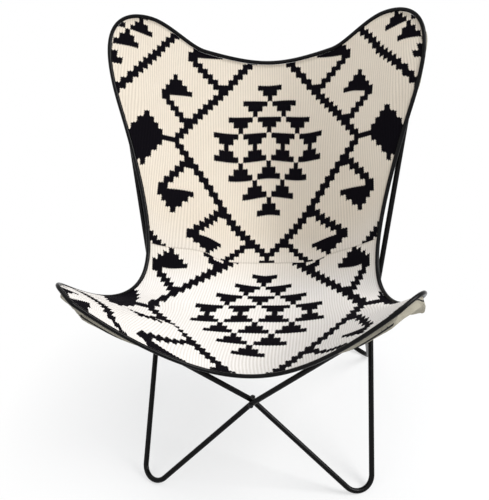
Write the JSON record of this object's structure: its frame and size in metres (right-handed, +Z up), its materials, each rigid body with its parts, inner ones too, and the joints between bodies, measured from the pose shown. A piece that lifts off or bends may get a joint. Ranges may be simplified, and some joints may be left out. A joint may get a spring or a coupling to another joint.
{
  "type": "butterfly sling chair",
  "caption": "Butterfly sling chair: crossed loops of bent black steel rod carry a flat-woven wool sling with a stepped black and cream pattern, edged with dark piping.",
  "frame": {"origin": "on the floor, under the middle of the chair's bounding box", "axes": "+X to the right as one faces the chair's front, +Y from the front to the back, +Z up"},
  "size_m": [0.728, 0.7178, 0.9085],
  "materials": {
    "rod": "satin black powder coat",
    "fastener": "blackened steel",
    "kilim": "flat-woven wool, cream with black stepped figures",
    "canvas": "olive-grey cotton canvas",
    "piping": "black piping with a soft gloss"
  },
  "bodies": {
    "root": {"frame_loop_left_horn": "rod", "frame_loop_right_horn": "rod", "front_crossing_bolt": "fastener", "front_crossing_washer": "fastener", "front_crossing_nut": "fastener", "back_crossing_bolt": "fastener", "back_crossing_washer": "fastener", "back_crossing_nut": "fastener", "right_crossing_bolt": "fastener", "right_crossing_washer": "fastener", "right_crossing_nut": "fastener", "left_crossing_bolt": "fastener", "left_crossing_washer": "fastener", "left_crossing_nut": "fastener", "sling_face": "kilim", "sling_lining": "canvas", "edge_piping": "piping", "front_right_pocket": "canvas", "front_left_pocket": "canvas", "back_right_pocket": "canvas", "back_left_pocket": "canvas"}
  },
  "joints": []
}
